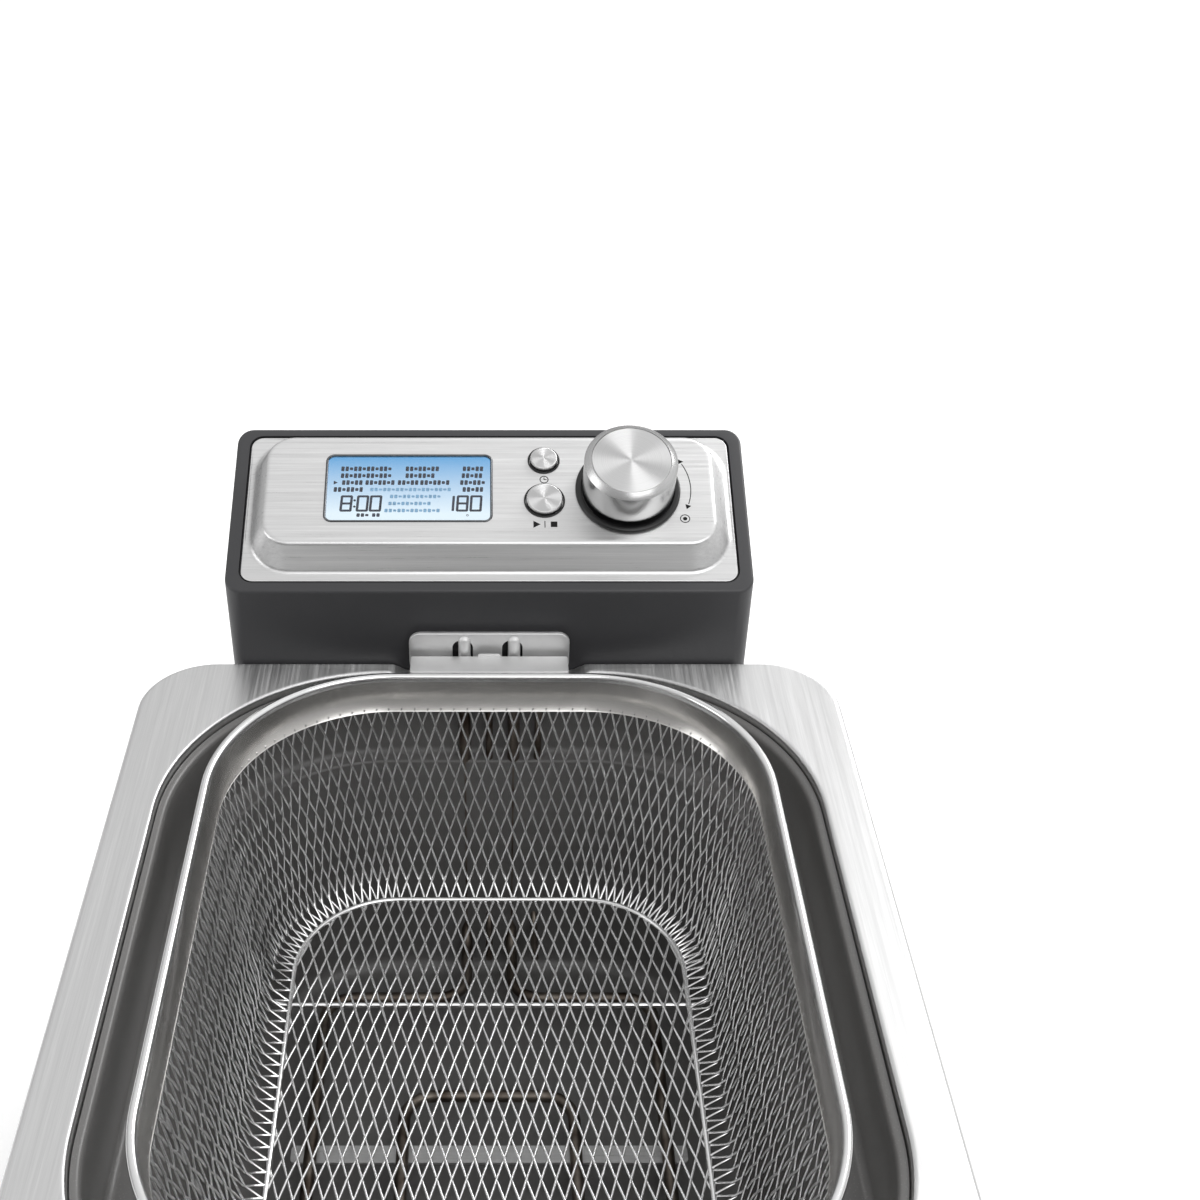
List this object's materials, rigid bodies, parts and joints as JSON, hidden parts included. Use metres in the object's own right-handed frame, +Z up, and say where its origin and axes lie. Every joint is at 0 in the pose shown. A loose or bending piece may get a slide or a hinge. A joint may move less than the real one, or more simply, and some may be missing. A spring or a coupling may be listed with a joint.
{
  "type": "deep fryer",
  "caption": "Countertop deep fryer: steel housing, lift-out bowl, rear control tower with display, keys and dial, hooked mesh basket with folding handle.",
  "frame": {"origin": "on the worktop, under the middle of the outer box with the basket handle folded out", "axes": "+Z up; -Y towards the user and the basket handle; +X to the user's right, where the dial is"},
  "size_m": [0.275, 0.4984, 0.3105],
  "materials": {
    "brushed_stainless": "brushed",
    "polished_steel": "polished",
    "zinc_screws": "zinc plated",
    "grey_plastic": "fine moulded",
    "black_plastic": "satin",
    "foot_rubber": "matt",
    "nonstick_coating": "non-stick",
    "lens": "clear",
    "display": "backlit",
    "circuit_board": "solder mask",
    "spun_aluminium": "spun",
    "element_sheath": "heat tinted",
    "brass_pins": "plated"
  },
  "bodies": {
    "housing": {"outer_housing": "brushed_stainless", "deck_rim": "brushed_stainless", "base_tray": "grey_plastic", "rubber_feet": "foot_rubber", "base_screws": "zinc_screws", "inner_heat_shield": "brushed_stainless", "left_carry_grip": "grey_plastic", "right_carry_grip": "grey_plastic", "dock_rails": "brushed_stainless", "switch_striker": "black_plastic"},
    "bowl": {"oil_bowl": "nonstick_coating"},
    "control_head": {"tower_shell": "grey_plastic", "tower_back_cover": "grey_plastic", "cover_screws": "zinc_screws", "power_inlet": "black_plastic", "inlet_pins": "brass_pins", "fascia_panel": "brushed_stainless", "display_bezel": "polished_steel", "display_lens": "lens", "display_module": "display", "fascia_carrier": "black_plastic", "button_rings": "black_plastic", "knob_collar": "black_plastic", "encoder_body": "black_plastic", "control_board": "circuit_board", "tact_switches": "black_plastic", "power_board": "circuit_board", "board_components": "black_plastic", "interlock_switch": "black_plastic", "thermal_cutout": "black_plastic", "drain_bracket": "brushed_stainless", "heating_element": "element_sheath", "element_supports": "brushed_stainless", "thermostat_probe": "element_sheath", "cutout_probe": "element_sheath", "element_seal_plate": "brushed_stainless"},
    "timer_key": {"timer_button": "spun_aluminium"},
    "start_key": {"start_button": "spun_aluminium"},
    "reset_key": {"reset_button": "black_plastic"},
    "dial_rotor": {"encoder_rotor": "polished_steel"},
    "dial": {"dial_shaft": "polished_steel", "dial_knob": "spun_aluminium", "knob_face": "spun_aluminium"},
    "basket": {"basket_rim": "polished_steel", "basket_band": "polished_steel", "basket_cage": "polished_steel", "hook_plate": "brushed_stainless", "handle_bracket": "brushed_stainless"},
    "basket_handle": {"handle_fork": "polished_steel", "pivot_pin": "polished_steel", "handle_grip_upper": "black_plastic", "handle_grip_lower": "black_plastic", "grip_screws": "zinc_screws"}
  },
  "joints": [
    {"name": "bowl_lift", "type": "slide", "parent": "housing", "child": "bowl", "axis": [0, 0, 1], "range_m": [0, 0.2]},
    {"name": "head_lift", "type": "slide", "parent": "bowl", "child": "control_head", "axis": [0, 0, 1], "range_m": [0, 0.2]},
    {"name": "basket_lift", "type": "slide", "parent": "control_head", "child": "basket", "axis": [0, 0, 1], "range_m": [0, 0.15]},
    {"name": "handle_fold", "type": "hinge", "parent": "basket", "child": "basket_handle", "pos_m": [0, -0.12634, 0.238], "axis": [-1, 0, 0], "range_deg": [0, 165]},
    {"name": "timer_press", "type": "slide", "parent": "control_head", "child": "timer_key", "axis": [0, 0.4051, -0.9143], "range_m": [0, 0.001], "stiffness_N_per_m": 900, "springref_m": -0.0005},
    {"name": "start_press", "type": "slide", "parent": "control_head", "child": "start_key", "axis": [0, 0.4051, -0.9143], "range_m": [0, 0.001], "stiffness_N_per_m": 900, "springref_m": -0.0005},
    {"name": "reset_press", "type": "slide", "parent": "control_head", "child": "reset_key", "axis": [0, -1, 0], "range_m": [0, 0.0015], "stiffness_N_per_m": 900, "springref_m": -0.0005},
    {"name": "dial_turn", "type": "hinge", "parent": "control_head", "child": "dial_rotor", "pos_m": [0.0554, 0.20631, 0.28632], "axis": [0, -0.4051, 0.9143], "continuous": true},
    {"name": "dial_press", "type": "slide", "parent": "dial_rotor", "child": "dial", "axis": [0, 0.4051, -0.9143], "range_m": [0, 0.001], "stiffness_N_per_m": 1500, "springref_m": -0.0006}
  ]
}
